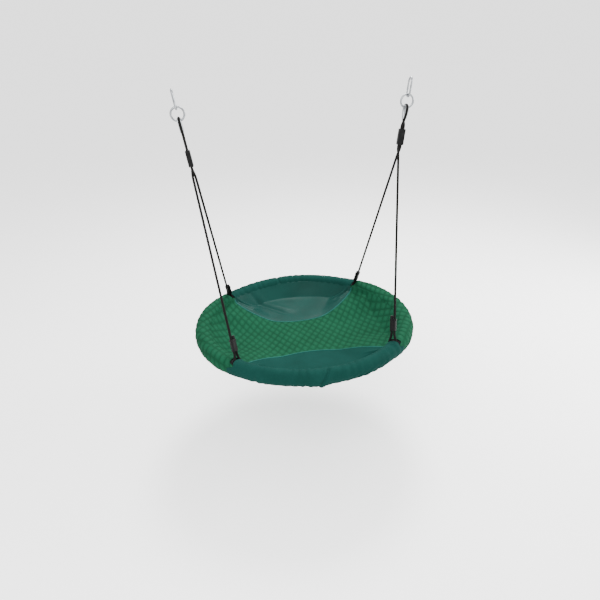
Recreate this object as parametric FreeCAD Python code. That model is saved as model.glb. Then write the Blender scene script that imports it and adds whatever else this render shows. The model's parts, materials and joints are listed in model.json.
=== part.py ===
import FreeCAD, Part
import math
import os

# Saucer nest swing. Millimetres, +Z up, X from the left ropes to the right ropes, -Y to the front.
# The origin is midway between the two points that the snap hooks hang from.

V = FreeCAD.Vector
X_AXIS = V(1, 0, 0)
Y_AXIS = V(0, 1, 0)
Z_AXIS = V(0, 0, 1)
SIDES = {"left": -1, "right": 1}
ENDS = {"front": -1, "back": 1}

# ---- driving dimensions -------------------------------------------------------------------------
SEAT_DIAMETER = 1000.0      # over the padded rim
RIM_DIAMETER = 64.0         # the padded rim, over its cover
CLOTH = 2.0                 # wall of the rim's cover
TUBE_DIAMETER = 25.0
TUBE_WALL = 1.5
SWAGE_LENGTH = 40.0         # the end of a tube that plugs into the next one
SWAGE_PLAY = 0.1
SWAGE_NECK = 0.8            # degrees over which a tube narrows to its plug
SLEEVE_INSET = 0.25         # degrees between a foam sleeve's end and the tube joint
FIRST_JOINT = 8.0           # degrees anticlockwise from +X; a tube joint follows every 90 degrees
FOAM_PLAY = 0.2
FOAM_GAP = 3.2              # degrees of bare tube each side of a rope foot
FOAM_SLIT = 2.0             # the cut along each foam sleeve that lets it onto the tube
SCREW_DIAMETER = 4.8
SCREW_HEAD = (9.0, 2.2)     # diameter and height
COVER_SLIT = (62.0, 26.0)   # the opening in the cover at each rope foot: across the rim and along it
CLOSURE_THICKNESS = 1.2
CLOSURE_SPAN = 78.0         # degrees round the seat that each closing strip covers

SEAT_DEPTH = 77.0           # middle of the seat below the centre of the rim
SEAT_FLAT = 200.0           # radius where the seat starts to rise
SEAT_BEND = (384.0, -53.0)  # radius and height where the seat turns up towards the rim
SEAT_EDGE = (437.9, 10.9)   # radius and height where it meets the rim
SEAT_CLOTH = 3.5            # measured straight down
SEAM_MIDDLE = 150.0         # from the middle of the seat to each seam between the two cloths
BINDING_WIDTH = 8.0
BINDING_THICKNESS = 1.2

ROPE_DIAMETER = 10.0
ROPE_LEAN = 7.7             # degrees that the rope planes lean outwards
CLAMP_BOTTOM = {"left": 772.0, "right": 803.0}      # up the rope plane from the rim's centre
CLAMP_SIZE = (28.0, 20.0, 64.0)
CLAMP_SPACING = 5.5         # each bore from the clamp's middle
EYE_TOP = 962.0             # the rope's centre at the top of its eye, up the rope plane
THIMBLE_PLAY = 0.25
THIMBLE_WALL = 1.8
THIMBLE_LENGTH = 55.0       # below the top of the eye
ADJUSTER_HEIGHT = {"front_left": 70.0, "front_right": 78.0, "back_left": 56.0, "back_right": 58.0}
ADJUSTER_BORE = 10.6
ADJUSTER_SPACING = 6.4      # each bore from the adjuster's middle
ADJUSTER_LENGTH = 50.0
STOPPER_LENGTH = 15.0

WIRE_DIAMETER = 8.0         # bar of the hanging rings and snap hooks
LINK_GAP = 0.5              # room between links that turn on each other
HANGING_RING_RADIUS = 26.0  # centre line of its bar
HOOK_RADIUS = 16.0          # centre line of the snap hook's bends
HOOK_STRAIGHT = 40.0        # between the centres of the two bends
GATE_DIAMETER = 7.6
PIN_DIAMETER = 2.5

# ---- sizes that follow ---------------------------------------------------------------------------
rim_radius = RIM_DIAMETER / 2
ring_radius = SEAT_DIAMETER / 2 - rim_radius
tube_radius = TUBE_DIAMETER / 2
rope_radius = ROPE_DIAMETER / 2
wire_radius = WIRE_DIAMETER / 2
foot = ring_radius / math.sqrt(2)
thimble_reach = rope_radius + THIMBLE_PLAY + THIMBLE_WALL
ring_bottom = EYE_TOP - thimble_reach - LINK_GAP - wire_radius
ring_top = ring_bottom + 2 * HANGING_RING_RADIUS
hook_bottom = ring_top - 2 * wire_radius - LINK_GAP
lower_bend = hook_bottom + HOOK_RADIUS
upper_bend = lower_bend + HOOK_STRAIGHT
hang_point = upper_bend + HOOK_RADIUS - wire_radius
lean = math.radians(ROPE_LEAN)
seat_z = -hang_point * math.cos(lean)

# ---- routes of the ropes ---------------------------------------------------------------------------
# In the rope plane's frame: across the plane towards +X, towards the back, and up the plane.
# Each list is the strand of the front leg. The back leg's strand is the same one turned half round.
STRANDS = {
    "left": [
        (-5.7, 0.0, 730.0), (-3.4, 4.7, 747.0), (0.0, 5.5, 763.5), (0.0, 5.5, 890.0),
        (0.0, 17.0, 926.0), (0.0, 17.0, EYE_TOP),
    ],
    "right": [
        (0.0, -6.2, 762.0), (-4.2, -4.3, 778.0), (-5.5, 0.0, 794.0), (-5.5, 0.0, 876.0),
        (-4.2, -4.2, 890.0), (0.0, -5.6, 904.0), (0.0, -17.0, 930.0), (0.0, -17.0, EYE_TOP),
    ],
}
# In a foot's frame: outwards and up the leg, from the adjuster round the tube.
LOOP = [(19.5, 20.0), (19.5, -19.5), (-19.5, -19.5), (-19.5, 12.0)]
TAIL = [(-19.5, 12.0), (-19.5, 21.0)]
LOOP_START = 20.0           # the rope starts to spread this far below its adjuster


class Frame:
    """A local frame. point(a, b, c) lies a along its first axis, b along its second, c along its third."""

    def __init__(self, origin, first, second, third):
        self.origin = origin
        self.axes = (first, second, third)

    def point(self, a, b, c):
        return self.origin + self.axes[0] * a + self.axes[1] * b + self.axes[2] * c

    def place(self, shape):
        rows = [[axis[i] for axis in self.axes] + [self.origin[i]] for i in range(3)]
        matrix = FreeCAD.Matrix(*rows[0], *rows[1], *rows[2], 0, 0, 0, 1)
        placed = shape.copy()
        placed.Placement = FreeCAD.Placement(matrix).multiply(shape.Placement)
        return placed


def unit(vector):
    return V(vector).normalize()


def rope_plane(side):
    """The frame of one side's rope plane, from the rim's centre height, with its third axis up the plane."""
    sign = SIDES[side]
    up = V(sign * math.sin(lean), 0, math.cos(lean))
    across = V(math.cos(lean), 0, -sign * math.sin(lean))
    return Frame(V(sign * foot, 0, seat_z), across, Y_AXIS, up)


def strand_points(side, end):
    """One strand from its leg up to the top of the eye."""
    turn = 1 if end == "front" else -1
    return [rope_plane(side).point(turn * a, turn * b, c) for a, b, c in STRANDS[side]]


def foot_frame(side, end):
    """The frame of one rope foot: outwards, along the tube and up the leg, from the centre of the tube."""
    centre = V(SIDES[side] * foot, ENDS[end] * foot, seat_z)
    outwards = unit(V(SIDES[side], ENDS[end], 0))
    up = unit(strand_points(side, end)[0] - centre - outwards * ADJUSTER_SPACING)
    outwards = unit(outwards - up * outwards.dot(up))
    return Frame(centre, outwards, up.cross(outwards), up)


def bore_offset(side, end):
    """How far the two bores of an adjuster stand from the middle of it."""
    frame = foot_frame(side, end)
    return (strand_points(side, end)[0] - frame.origin).dot(frame.axes[0])


# ---- shapes ----------------------------------------------------------------------------------------
def rounded_path(points, name):
    """Straight runs joined by tangent arcs, each arc as large as its two runs allow."""
    edges = []
    radii = []
    here = points[0]
    for before, corner, after in zip(points, points[1:], points[2:]):
        back, ahead = before - corner, after - corner
        shorter = min(back.Length, ahead.Length)
        half_turn = (math.pi - back.getAngle(ahead)) / 2
        reach = 0.45 * shorter
        radius = reach / math.tan(half_turn)
        radii.append(radius)
        start = corner + unit(back) * reach
        end = corner + unit(ahead) * reach
        inwards = unit(unit(back) + unit(ahead))
        middle = corner + inwards * (math.hypot(radius, reach) - radius)
        edges.append(Part.LineSegment(here, start).toShape())
        edges.append(Part.Arc(start, middle, end).toShape())
        here = end
    edges.append(Part.LineSegment(here, points[-1]).toShape())
    print(name, "radii", [round(r, 1) for r in radii])
    return Part.Wire(edges)


def sweep(path, radius):
    """A round bar along a path."""
    start = path.Edges[0].Vertexes[0].Point
    towards = path.Edges[0].tangentAt(path.Edges[0].FirstParameter)
    section = Part.Wire(Part.Circle(start, towards, radius).toShape())
    return path.makePipeShell([section], True, False)


def rope(points, name):
    path = rounded_path(points, name)
    solid = sweep(path, rope_radius)
    expected = math.pi * rope_radius ** 2 * path.Length
    print(name, "length", round(path.Length), "volume ratio", round(solid.Volume / expected, 4))
    return solid


def bar(x, y, z, radius=0.0):
    """A block centred on the frame's third axis from z[0] to z[1], with its long edges rounded."""
    block = Part.makeBox(x, y, z[1] - z[0], V(-x / 2, -y / 2, z[0]))
    if radius:
        upright = [e for e in block.Edges if abs(e.tangentAt(0).z) > 0.99]
        block = block.makeFillet(radius, upright)
    return block


def rod(radius, z, x=0.0, y=0.0):
    return Part.makeCylinder(radius, z[1] - z[0], V(x, y, z[0]))


def section_ring(outer, inner):
    """A round tube's section at the rim's radius, in the XZ plane."""
    centre = V(ring_radius, 0, 0)
    disc = Part.Face(Part.Wire(Part.Circle(centre, Y_AXIS, outer).toShape()))
    hole = Part.Face(Part.Wire(Part.Circle(centre, Y_AXIS, inner).toShape()))
    return disc.cut(hole)


def round_the_seat(section, start, sweep_angle):
    """A section turned about the seat's axis, at the rim's height."""
    solid = section.revolve(V(0, 0, 0), Z_AXIS, sweep_angle)
    solid.rotate(V(0, 0, 0), Z_AXIS, start)
    solid.translate(V(0, 0, seat_z))
    return solid


def prism(outline):
    """A tall upright prism on a closed plan outline, which cuts the seat's parts out."""
    face = Part.Face(Part.Wire(outline))
    face.translate(V(0, 0, seat_z - SEAT_DIAMETER / 2))
    return face.extrude(V(0, 0, SEAT_DIAMETER))


def outline_lines(points):
    return [Part.LineSegment(V(*a, 0), V(*b, 0)).toShape() for a, b in zip(points, points[1:])]


def quarter(middle_angle):
    """A prism over the quarter of the seat between two rope feet."""
    far = SEAT_DIAMETER
    corners = [(0, 0), (far, -far), (far, far), (0, 0)]
    wedge = prism(outline_lines(corners))
    wedge.rotate(V(0, 0, 0), Z_AXIS, middle_angle)
    return wedge


def seat_layer(low, high):
    """A layer that follows the top of the seat, between two heights above it."""
    points = [(0, -SEAT_DEPTH), (SEAT_FLAT, -SEAT_DEPTH), SEAT_BEND, SEAT_EDGE]
    lower = rounded_path([V(r, 0, z + low) for r, z in points], "seat profile")
    upper = lower.copy()
    upper.translate(V(0, 0, high - low))
    ends = [
        Part.LineSegment(lower.Vertexes[i].Point, upper.Vertexes[i].Point).toShape() for i in (0, -1)
    ]
    face = Part.Face(Part.Wire(Part.__sortEdges__(lower.Edges + upper.Edges + ends)))
    return round_the_seat(face, 0, 360)


# ---- seat --------------------------------------------------------------------------------------------
joints = [FIRST_JOINT + 90 * k for k in range(4)]
feet = [45 + 90 * k for k in range(4)]


def screw_frame(angle):
    """Where a tube joint's screw enters, from below, halfway along the plugged end."""
    turn = math.radians(angle) + SWAGE_LENGTH / 2 / ring_radius
    return V(ring_radius * math.cos(turn), ring_radius * math.sin(turn), seat_z)


def ring_tube(k):
    """A quarter of the steel ring, with its far end necked down to plug into the next tube."""
    swage = tube_radius - TUBE_WALL - SWAGE_PLAY
    swage_bore = swage - TUBE_WALL
    plug = math.degrees(SWAGE_LENGTH / ring_radius)
    start, end = joints[k], joints[k] + 90
    tube = round_the_seat(section_ring(tube_radius, tube_radius - TUBE_WALL), start, 90 - SWAGE_NECK)
    collar = round_the_seat(section_ring(tube_radius, swage_bore), end - SWAGE_NECK, SWAGE_NECK)
    plugged = round_the_seat(section_ring(swage, swage_bore), end, plug)
    tube = tube.fuse([collar, plugged])
    for angle in (start, end):
        point = screw_frame(angle)
        hole = Part.makeCylinder(SCREW_DIAMETER / 2 + 0.1, tube_radius + 1, point, Z_AXIS * -1)
        tube = tube.cut(hole)
    return tube.removeSplitter()


def tube_screws():
    """The four pan head screws that lock the tube joints, from below."""
    screws = []
    for angle in joints:
        point = screw_frame(angle)
        under = point - V(0, 0, tube_radius + 0.1)
        shank = Part.makeCylinder(SCREW_DIAMETER / 2, 8, under, Z_AXIS)
        head = Part.makeCylinder(SCREW_HEAD[0] / 2, SCREW_HEAD[1], under, Z_AXIS * -1)
        head = head.makeFillet(0.8, [e for e in head.Edges if e.BoundBox.ZMax < under.z - 2])
        screws.append(shank.fuse(head).removeSplitter())
    return Part.makeCompound(screws)


def foam_sleeve(start, end):
    """A split foam sleeve over the tube between two angles."""
    section = section_ring(rim_radius - CLOTH - FOAM_PLAY, tube_radius + FOAM_PLAY)
    slit = Part.makeBox(FOAM_SLIT, 2, rim_radius, V(ring_radius - FOAM_SLIT / 2, -1, -rim_radius))
    section = section.cut(slit)
    sleeve = round_the_seat(section, start, end - start)
    for angle in joints:
        point = screw_frame(angle)
        sleeve = sleeve.cut(Part.makeCylinder(5.5, 6, point - V(0, 0, tube_radius + 4), Z_AXIS))
    return sleeve


def rope_slit(side, end):
    """The opening in the cover that a rope comes up through."""
    return foot_frame(side, end).place(bar(*COVER_SLIT, (8, 90), 8))


def seam_prism(end):
    """A prism over one end panel: past its curved seam, between the rope feet."""
    sign = ENDS[end]
    far = SEAT_DIAMETER
    seam = Part.Arc(V(-foot, sign * foot, 0), V(0, sign * SEAM_MIDDLE, 0), V(foot, sign * foot, 0))
    corners = [(foot, sign * foot), (far, sign * far), (-far, sign * far), (-foot, sign * foot)]
    return prism([seam.toShape()] + outline_lines(corners))


def binding(end):
    """The edging sewn over one seam, on top of the seat."""
    sign = ENDS[end]
    seam_radius = ((foot - SEAM_MIDDLE) ** 2 + foot ** 2) / (2 * (foot - SEAM_MIDDLE))
    centre = V(0, sign * (SEAM_MIDDLE + seam_radius), seat_z - SEAT_DIAMETER / 2)
    band = Part.makeCylinder(seam_radius + BINDING_WIDTH / 2, SEAT_DIAMETER, centre)
    band = band.cut(Part.makeCylinder(seam_radius - BINDING_WIDTH / 2, SEAT_DIAMETER, centre))
    rim = Part.makeTorus(ring_radius, rim_radius + 1, V(0, 0, seat_z), Z_AXIS)
    tape = seat_layer(0, BINDING_THICKNESS).cut(rim).common(band)
    for side in SIDES:
        tape = tape.cut(rope_slit(side, end))
    return tape


def build_seat(parts):
    for k in range(4):
        parts[f"ring_tube_{k + 1}"] = ring_tube(k)
        first = joints[k] + SLEEVE_INSET
        middle = feet[k]
        last = joints[k] + 90 - SLEEVE_INSET
        parts[f"foam_sleeve_{2 * k + 1}"] = foam_sleeve(first, middle - FOAM_GAP)
        parts[f"foam_sleeve_{2 * k + 2}"] = foam_sleeve(middle + FOAM_GAP, last)
    parts["tube_screws"] = tube_screws()

    slits = [rope_slit(side, end) for side in SIDES for end in ENDS]
    shell = round_the_seat(section_ring(rim_radius, rim_radius - CLOTH), 0, 360)
    for name, angle in (("right", 0), ("back", 90), ("left", 180), ("front", 270)):
        parts[f"{name}_rim_cover"] = shell.common(quarter(angle)).cut(slits)

    rim = Part.makeTorus(ring_radius, rim_radius, V(0, 0, seat_z), Z_AXIS)
    sheet = seat_layer(-SEAT_CLOTH, 0).cut(rim).cut(slits)
    for end in ENDS:
        parts[f"{end}_panel"] = sheet.common(seam_prism(end))
        parts[f"{end}_binding"] = binding(end)
    parts["centre_panel"] = sheet.cut([seam_prism(end) for end in ENDS])

    strip = section_ring(rim_radius + CLOSURE_THICKNESS, rim_radius)
    corners = [V(ring_radius, 0, 0), V(ring_radius - 60, 0, -42), V(ring_radius - 22, 0, -60)]
    wedge = Part.Face(Part.makePolygon(corners + corners[:1]))
    strip = strip.common(wedge)
    strips = [round_the_seat(strip, angle + 45 - CLOSURE_SPAN / 2, CLOSURE_SPAN) for angle in feet]
    parts["closure_strips"] = Part.makeCompound(strips)


# ---- ropes -------------------------------------------------------------------------------------------
def leg_points(side, end):
    """From the split on the inside of the tube, round it, and up through the adjuster."""
    frame = foot_frame(side, end)
    offset = bore_offset(side, end)
    height = ADJUSTER_HEIGHT[f"{end}_{side}"]
    loop = [(offset, height - LOOP_START)] + LOOP
    return [frame.point(a, 0, c) for a, c in reversed(loop)]


def side_rope(side):
    """One side's whole rope, from the front foot over the eye to the back foot, without its two tails."""
    front = leg_points(side, "front") + strand_points(side, "front")
    back = leg_points(side, "back") + strand_points(side, "back")
    return rope(front + back[::-1], f"{side}_rope")


def rope_tail(side, end):
    """The end of the rope, from the split up through the adjuster into its stopper."""
    frame = foot_frame(side, end)
    offset = -bore_offset(side, end)
    height = ADJUSTER_HEIGHT[f"{end}_{side}"]
    top = height + ADJUSTER_LENGTH + STOPPER_LENGTH - 4
    route = TAIL + [(offset, height - LOOP_START), (offset, top)]
    return rope([frame.point(a, 0, c) for a, c in route], f"{end}_{side}_tail")


def crescent(point, across, inwards):
    """The thimble's section: a half round trough that opens outwards."""
    inner = rope_radius + THIMBLE_PLAY
    outer = inner + THIMBLE_WALL
    edges = [
        Part.Arc(point + across * r, point + inwards * r, point - across * r).toShape()
        for r in (inner, outer)
    ]
    for k in (-1, 1):
        lip = Part.LineSegment(point + across * inner * k, point + across * outer * k)
        edges.append(lip.toShape())
    return Part.Face(Part.Wire(Part.__sortEdges__(edges)))


def thimble(side):
    """A grooved liner inside the rope's eye."""
    front = strand_points(side, "front")[-3:]
    back = strand_points(side, "back")[-3:]
    path = rounded_path(front + back[::-1], f"{side}_thimble")
    across = rope_plane(side).axes[0]
    turn = 1 if (front[1] - front[0]).cross(back[0] - front[0]).dot(across) > 0 else -1
    lengths = []
    for edge in path.Edges:
        start, end = (edge.valueAt(t) for t in edge.ParameterRange)
        inwards = across.cross(edge.tangentAt(edge.FirstParameter)) * turn
        section = crescent(start, across, inwards)
        if isinstance(edge.Curve, Part.Circle):
            angle = math.degrees(edge.LastParameter - edge.FirstParameter)
            lengths.append(section.revolve(edge.Curve.Center, edge.Curve.Axis, angle))
        else:
            lengths.append(section.extrude(end - start))
    liner = lengths[0].fuse(lengths[1:])
    ends = rope_plane(side).place(bar(60, 60, (EYE_TOP - THIMBLE_LENGTH, EYE_TOP + 20)))
    return liner.common(ends).removeSplitter()


def clamp(side):
    """The two-bore block that holds the strands together."""
    width, depth, length = CLAMP_SIZE
    low = CLAMP_BOTTOM[side]
    if side == "left":
        width, depth = depth, width
    block = bar(width, depth, (low, low + length), 4)
    ends = [e for e in block.Edges if e.BoundBox.ZLength < 0.01]
    block = block.makeChamfer(1.5, ends)
    for sign in (-1, 1):
        x = sign * CLAMP_SPACING if side == "right" else 0
        y = sign * CLAMP_SPACING if side == "left" else 0
        block = block.cut(rod(rope_radius + 0.1, (low - 1, low + length + 1), x, y))
    return rope_plane(side).place(block)


def adjuster(side, end):
    """The two-bore slider that sets a leg's length."""
    offset = bore_offset(side, end)
    low = ADJUSTER_HEIGHT[f"{end}_{side}"]
    high = low + ADJUSTER_LENGTH
    body = bar(27, 17, (low, high - 12), 6)
    neck = bar(24.5, 14.5, (high - 12, high - 8), 5)
    head = bar(29, 19, (high - 8, high), 7)
    block = body.fuse([neck, head])
    for x in (offset, -offset):
        block = block.cut(rod(ADJUSTER_BORE / 2, (low - 1, high + 1), x))
    return foot_frame(side, end).place(block.removeSplitter())


def stopper(side, end):
    """The moulded end that keeps the rope from pulling back through its adjuster."""
    x = -bore_offset(side, end)
    low = ADJUSTER_HEIGHT[f"{end}_{side}"] + ADJUSTER_LENGTH
    cap = rod(7.0, (low, low + STOPPER_LENGTH), x)
    cap = cap.makeFillet(3.0, [e for e in cap.Edges if e.BoundBox.ZMin > low + STOPPER_LENGTH - 0.1])
    cap = cap.cut(rod(ADJUSTER_BORE / 2, (low - 1, low + STOPPER_LENGTH - 3), x))
    return foot_frame(side, end).place(cap)


def build_ropes(parts):
    for side in SIDES:
        parts[f"{side}_rope"] = side_rope(side)
        parts[f"{side}_thimble"] = thimble(side)
        parts[f"{side}_rope_clamp"] = clamp(side)
        for end in ENDS:
            parts[f"{end}_{side}_rope_tail"] = rope_tail(side, end)
            parts[f"{end}_{side}_adjuster"] = adjuster(side, end)
            parts[f"{end}_{side}_rope_stopper"] = stopper(side, end)


# ---- hanging hardware --------------------------------------------------------------------------------
gate_pin = lower_bend - 0.5
hinge_end = gate_pin + 2.5
nose_end = upper_bend - 4.0


def snap_hook():
    """The hook's bar: a long oval that is open where the gate closes it."""
    y = HOOK_RADIUS
    edges = [
        Part.LineSegment(V(0, y, nose_end), V(0, y, upper_bend)).toShape(),
        Part.Arc(V(0, y, upper_bend), V(0, 0, upper_bend + y), V(0, -y, upper_bend)).toShape(),
        Part.LineSegment(V(0, -y, upper_bend), V(0, -y, lower_bend)).toShape(),
        Part.Arc(V(0, -y, lower_bend), V(0, 0, lower_bend - y), V(0, y, lower_bend)).toShape(),
        Part.LineSegment(V(0, y, lower_bend), V(0, y, hinge_end)).toShape(),
    ]
    hook = sweep(Part.Wire(edges), wire_radius)
    slot = Part.makeBox(3.2, 12, 20, V(-1.6, y - 6, gate_pin - 4.5))
    bore = Part.makeCylinder(PIN_DIAMETER / 2, 20, V(-10, y, gate_pin), X_AXIS)
    return hook.cut([slot, bore])


def gate():
    """The sprung gate, with the tongue that turns on the pin."""
    y = HOOK_RADIUS
    stem = rod(GATE_DIAMETER / 2, (gate_pin + 6, nose_end - 0.4), 0, y)
    rims = [e for e in stem.Edges if e.BoundBox.ZLength < 0.01]
    stem = stem.makeChamfer(0.7, rims)
    tongue = Part.makeBox(2.8, 6, 10, V(-1.4, y - 3, gate_pin))
    tongue = tongue.fuse(Part.makeCylinder(3, 2.8, V(-1.4, y, gate_pin), X_AXIS))
    bore = Part.makeCylinder(PIN_DIAMETER / 2 + 0.05, 20, V(-10, y, gate_pin), X_AXIS)
    return stem.fuse(tongue).cut(bore).removeSplitter()


def build_hangers(parts):
    for side in SIDES:
        frame = rope_plane(side)
        pin_end = V(-wire_radius, HOOK_RADIUS, gate_pin)
        pin = Part.makeCylinder(PIN_DIAMETER / 2, WIRE_DIAMETER, pin_end, X_AXIS)
        ring = Part.makeTorus(HANGING_RING_RADIUS, wire_radius, V(0, 0, 0), Y_AXIS)
        ring.translate(V(0, 0, (ring_bottom + ring_top) / 2))
        parts[f"{side}_snap_hook"] = frame.place(snap_hook())
        parts[f"{side}_gate"] = frame.place(gate())
        parts[f"{side}_gate_pin"] = frame.place(pin)
        parts[f"{side}_hanging_ring"] = frame.place(ring)


# ---- export ------------------------------------------------------------------------------------------
parts = {}
build_hangers(parts)
build_ropes(parts)
build_seat(parts)
os.makedirs("parts", exist_ok=True)
for name, shape in parts.items():
    solids = shape.Solids
    shape = solids[0] if len(solids) == 1 else Part.makeCompound(solids)
    shape.exportStep(f"parts/{name}.step")
    box = shape.BoundBox
    print(name, len(solids), shape.isValid(), round(shape.Volume), "z", round(box.ZMin, 1), round(box.ZMax, 1))
print("nodes", len(parts))
print("seat height", seat_z, "foot", foot)
for side in SIDES:
    frame = rope_plane(side)
    for label, height in (("hang point", hang_point), ("ring top", ring_top), ("eye top", EYE_TOP)):
        print(side, label, list(frame.point(0, 0, height)))
    print(side, "gate pin", list(frame.point(0, HOOK_RADIUS, gate_pin)), "axis", list(frame.axes[0]))
    for end in ENDS:
        print(side, end, "leg axis", list(foot_frame(side, end).axes[2]), bore_offset(side, end))
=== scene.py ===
import json
import math

import bpy
import numpy as np
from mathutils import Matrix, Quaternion, Vector


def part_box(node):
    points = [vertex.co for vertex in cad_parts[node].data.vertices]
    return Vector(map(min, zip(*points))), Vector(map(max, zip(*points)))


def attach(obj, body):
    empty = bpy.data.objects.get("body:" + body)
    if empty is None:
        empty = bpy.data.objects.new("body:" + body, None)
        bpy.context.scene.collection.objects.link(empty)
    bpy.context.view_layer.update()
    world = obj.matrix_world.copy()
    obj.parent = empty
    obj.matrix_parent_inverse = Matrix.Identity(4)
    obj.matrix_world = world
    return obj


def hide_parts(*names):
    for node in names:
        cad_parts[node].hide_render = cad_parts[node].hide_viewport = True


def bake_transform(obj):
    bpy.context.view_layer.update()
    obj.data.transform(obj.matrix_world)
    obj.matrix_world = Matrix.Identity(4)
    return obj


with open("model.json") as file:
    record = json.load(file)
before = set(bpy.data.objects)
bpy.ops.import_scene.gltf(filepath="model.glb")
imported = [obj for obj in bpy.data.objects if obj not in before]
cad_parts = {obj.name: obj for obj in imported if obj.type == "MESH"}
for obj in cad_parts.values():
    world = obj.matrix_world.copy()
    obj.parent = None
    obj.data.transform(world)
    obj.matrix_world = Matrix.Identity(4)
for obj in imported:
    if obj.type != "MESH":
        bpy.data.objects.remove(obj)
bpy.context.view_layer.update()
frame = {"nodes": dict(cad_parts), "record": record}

# Saucer nest swing. Metres, +Z up. The origin is midway between the two points it hangs from.

SIDES = {"left": -1, "right": 1}
ENDS = {"front": -1, "back": 1}
joints = {j["name"]: j for j in frame["record"]["behaviour"]["joints"]}
foot_x, _, seat_z = joints["right_rope_sway"]["pos_m"]
eye_x, _, eye_z = joints["side_sway"]["pos_m"]
LEAN = math.atan2(abs(eye_x) - foot_x, eye_z - seat_z)


# ---- meshes ------------------------------------------------------------------------------------
shown = {}                      # each piece built here, under the CAD node that it stands for


def stand_for(node, obj, body=None):
    """obj is shown in place of that CAD node, and rides on the body."""
    if body:
        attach(obj, body)
    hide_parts(node)
    shown[node] = obj
    return obj


def mesh_object(name, verts, faces, layers=None):
    """A smooth mesh object. layers are named values or vectors at each point."""
    mesh = bpy.data.meshes.new(name)
    mesh.from_pydata([tuple(v) for v in verts], [], [tuple(f) for f in faces])
    mesh.polygons.foreach_set("use_smooth", [True] * len(mesh.polygons))
    for layer, values in (layers or {}).items():
        values = np.asarray(values, np.float32)
        kind, key = ("FLOAT_VECTOR", "vector") if values.ndim == 2 else ("FLOAT", "value")
        mesh.attributes.new(layer, kind, "POINT").data.foreach_set(key, values.ravel())
    mesh.validate()
    obj = bpy.data.objects.new(name, mesh)
    bpy.context.collection.objects.link(obj)
    return obj


def quads(rows, columns, wrap=False, offset=0, flip=False):
    """Faces of a grid of points, joined up across its last column if it wraps."""
    index = np.arange(rows * columns).reshape(rows, columns) + offset
    if wrap:
        index = np.concatenate([index, index[:, :1]], 1)
    corners = [index[:-1, :-1], index[1:, :-1], index[1:, 1:], index[:-1, 1:]]
    faces = np.stack(corners, -1).reshape(-1, 4)
    return faces[:, ::-1] if flip else faces


def grid_normals(points, wrap=False):
    """Normals of a grid of points, along the cross product of its two directions."""
    along = np.gradient(points, axis=0)
    if wrap:
        padded = np.concatenate([points[:, -1:], points, points[:, :1]], 1)
        across = (padded[:, 2:] - padded[:, :-2]) / 2
    else:
        across = np.gradient(points, axis=1)
    normal = np.cross(along, across)
    length = np.linalg.norm(normal, axis=-1, keepdims=True)
    return normal / np.maximum(length, 1e-12)


def sheet_faces(rows, columns, outwards, wrap=False, offset=0):
    """Faces of a closed sheet: a grid of outer points, as many inner ones after them, and its rims.

    outwards says that the grid's normals point out of the sheet.
    """
    count = rows * columns
    faces = [
        quads(rows, columns, wrap, offset, not outwards),
        quads(rows, columns, wrap, offset + count, outwards),
    ]
    index = np.arange(count).reshape(rows, columns) + offset
    rims = [(index[0], False), (index[-1], True)]
    if wrap:
        rims = [(np.append(line, line[0]), turned) for line, turned in rims]
    else:
        rims += [(index[:, 0], True), (index[:, -1], False)]
    for line, turned in rims:
        wall = np.stack([line[:-1], line[1:], line[1:] + count, line[:-1] + count], -1)
        faces.append(wall[:, ::-1] if turned == outwards else wall)
    return np.concatenate(faces)


def shell(name, points, thickness, outward, wrap=False, layers=None):
    """A closed sheet of that thickness whose outer face is the grid of points."""
    normals = grid_normals(points, wrap)
    sign = np.sign((normals * outward).sum())
    inner = points - normals * sign * thickness
    rows, columns = points.shape[:2]
    verts = np.concatenate([points.reshape(-1, 3), inner.reshape(-1, 3)])
    doubled = {
        layer: np.concatenate([values.reshape(rows * columns, -1)] * 2).squeeze()
        for layer, values in (layers or {}).items()
    }
    return mesh_object(name, verts, sheet_faces(rows, columns, bool(sign > 0), wrap), doubled)


# ---- cloth shapes ------------------------------------------------------------------------------
def ripple(x, y, size, seed):
    """Smooth irregular waves of about that size, from -1 to 1."""
    draw = np.random.default_rng(seed)
    total = 0
    for _ in range(7):
        turn, phase = draw.uniform(0, 2 * math.pi, 2)
        wave = 2 * math.pi / (size * draw.uniform(0.7, 1.5))
        total = total + np.sin(wave * (x * math.cos(turn) + y * math.sin(turn)) + phase)
    return total / 4


def bump(value, centre, width):
    """1 at the centre, falling off smoothly over about the width."""
    return np.exp(-(((value - centre) / width) ** 2))


def fold_line(x, y, start, end, width):
    """1 on the line between two points, falling off to both sides and past its ends."""
    start, end = np.array(start), np.array(end)
    along = end - start
    length = np.linalg.norm(along)
    along = along / length
    u = (x - start[0]) * along[0] + (y - start[1]) * along[1]
    v = (y - start[1]) * along[0] - (x - start[0]) * along[1]
    ends = np.clip(np.minimum(u, length - u) / (0.3 * length) + 0.5, 0, 1)
    return np.exp(-((v / width) ** 2)) * ends


def step(value, low, high):
    """0 up to low and 1 from high on, with a smooth rise between them."""
    t = np.clip((value - low) / (high - low), 0, 1)
    return t * t * (3 - 2 * t)


def window(value, low, high, soft):
    """1 between the two values and 0 outside them, with soft edges inside."""
    return step(value, low, low + soft) * step(-value, -high, -high + soft)


def upper(a, b, softness):
    """The higher of two values, rounded where they meet."""
    return (a + b + np.sqrt((a - b) ** 2 + softness ** 2)) / 2


# ---- the seat's own sizes ----------------------------------------------------------------------
low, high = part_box("back_rim_cover")
RIM = (high.z - low.z) / 2      # radius of the padded rim, without its cloth's fullness
RING = high.y - RIM             # radius of the ring's centre line
SEAT_DEPTH = 0.077              # of the seat's middle, below the ring's centre
FLAT = 0.2                      # radius out to which the middle is flat
EDGE = (0.4379, 0.0109)         # radius and height at which the seat meets the rim
FLOOR_BEND, WALL_BEND = 0.006, 0.004    # softness of the seat's two bends

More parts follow.
